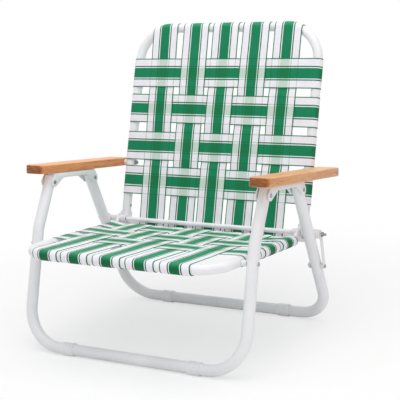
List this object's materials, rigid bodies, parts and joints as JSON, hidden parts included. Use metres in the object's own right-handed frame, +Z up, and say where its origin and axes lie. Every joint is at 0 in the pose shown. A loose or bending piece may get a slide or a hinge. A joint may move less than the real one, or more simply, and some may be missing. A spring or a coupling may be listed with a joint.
{
  "type": "folding lawn chair",
  "caption": "Low folding lawn chair with a white tube frame, flat wooden arms, and a seat and back woven from green and white webbing.",
  "frame": {"origin": "on the floor under the middle of the chair's outline", "axes": "+Z up; the chair faces -Y; +X to the left hand of a person sitting in it"},
  "size_m": [0.547, 0.4994, 0.5995],
  "materials": {
    "white_coat": "white powder coat on steel tube and sheet",
    "white_plastic": "moulded, satin",
    "plated_steel": "zinc-plated fasteners",
    "oiled_wood": "oiled, straight grain along the arm",
    "webbing": "flat woven strap, green and white stripes along it"
  },
  "bodies": {
    "front_legs": {"front_leg_frame": "white_coat", "foot_front_left": "white_plastic", "foot_front_right": "white_plastic", "seat_pivot_bolt_left": "plated_steel", "seat_pivot_bolt_right": "plated_steel", "seat_pivot_spacer_left": "white_plastic", "seat_pivot_spacer_right": "white_plastic"},
    "seat": {"seat_frame": "white_coat", "seat_rear_bar": "white_coat", "axle_rod": "plated_steel", "axle_tube": "white_coat", "axle_bush_left": "white_plastic", "axle_bush_right": "white_plastic", "seat_long_strap_1": "webbing", "seat_long_strap_2": "webbing", "seat_long_strap_3": "webbing", "seat_long_strap_4": "webbing", "seat_long_strap_5": "webbing", "seat_cross_strap_1": "webbing", "seat_cross_strap_2": "webbing", "seat_cross_strap_3": "webbing"},
    "back": {"back_frame": "white_coat", "back_lower_bar": "white_coat", "back_hinge_end_left": "white_plastic", "back_hinge_end_right": "white_plastic", "hinge_end_rivet_left": "plated_steel", "hinge_end_rivet_right": "plated_steel", "back_long_strap_1": "webbing", "back_long_strap_2": "webbing", "back_long_strap_3": "webbing", "back_long_strap_4": "webbing", "back_long_strap_5": "webbing", "back_cross_strap_1": "webbing", "back_cross_strap_2": "webbing", "back_cross_strap_3": "webbing", "back_cross_strap_4": "webbing", "arm_back_bolt_left": "plated_steel", "arm_back_bolt_right": "plated_steel", "arm_back_spacer_left": "white_plastic", "arm_back_spacer_right": "white_plastic"},
    "rear_legs": {"rear_leg_frame": "white_coat", "foot_rear_left": "white_plastic", "foot_rear_right": "white_plastic", "link_rivet_left": "plated_steel", "link_rivet_right": "plated_steel"},
    "left_arm": {"arm_left": "oiled_wood", "arm_bracket_left": "white_coat", "arm_rivet_front_left": "plated_steel", "arm_rivet_rear_left": "plated_steel"},
    "left_link": {"link_left": "white_coat", "link_nut_left": "plated_steel"},
    "right_arm": {"arm_right": "oiled_wood", "arm_bracket_right": "white_coat", "arm_rivet_front_right": "plated_steel", "arm_rivet_rear_right": "plated_steel"},
    "right_link": {"link_right": "white_coat", "link_nut_right": "plated_steel"}
  },
  "joints": [
    {"name": "seat_fold", "type": "hinge", "parent": "front_legs", "child": "seat", "pos_m": [0, -0.14701, 0.203], "axis": [-1, 0, 0], "range_deg": [0, 80]},
    {"name": "left_arm_fold", "type": "hinge", "parent": "front_legs", "child": "left_arm", "pos_m": [-0.2413, -0.09216, 0.3153], "axis": [-1, 0, 0], "range_deg": [0, 80]},
    {"name": "right_arm_fold", "type": "hinge", "parent": "front_legs", "child": "right_arm", "pos_m": [0.2413, -0.09216, 0.3153], "axis": [-1, 0, 0], "range_deg": [0, 80]},
    {"name": "back_fold", "type": "hinge", "parent": "seat", "child": "back", "pos_m": [0, 0.10273, 0.1972], "axis": [1, 0, 0], "range_deg": [0, 80]},
    {"name": "rear_leg_fold", "type": "hinge", "parent": "right_arm", "child": "rear_legs", "pos_m": [0.2413, 0.04343, 0.29793], "axis": [1, 0, 0], "range_deg": [0, 36.2]},
    {"name": "left_link_swing", "type": "hinge", "parent": "rear_legs", "child": "left_link", "pos_m": [-0.2585, 0.11322, 0.13], "axis": [-1, 0, 0], "range_deg": [0, 106.6]},
    {"name": "right_link_swing", "type": "hinge", "parent": "rear_legs", "child": "right_link", "pos_m": [0.2585, 0.11322, 0.13], "axis": [-1, 0, 0], "range_deg": [0, 106.6]}
  ],
  "couplings": [
    {"joint": "left_arm_fold", "follows": "seat_fold", "ratio": 1},
    {"joint": "right_arm_fold", "follows": "seat_fold", "ratio": 1},
    {"joint": "back_fold", "follows": "seat_fold", "ratio": 1},
    {"joint": "rear_leg_fold", "follows": "seat_fold", "ratio": 0.45204},
    {"joint": "left_link_swing", "follows": "seat_fold", "ratio": 1.3318},
    {"joint": "right_link_swing", "follows": "seat_fold", "ratio": 1.3318}
  ]
}
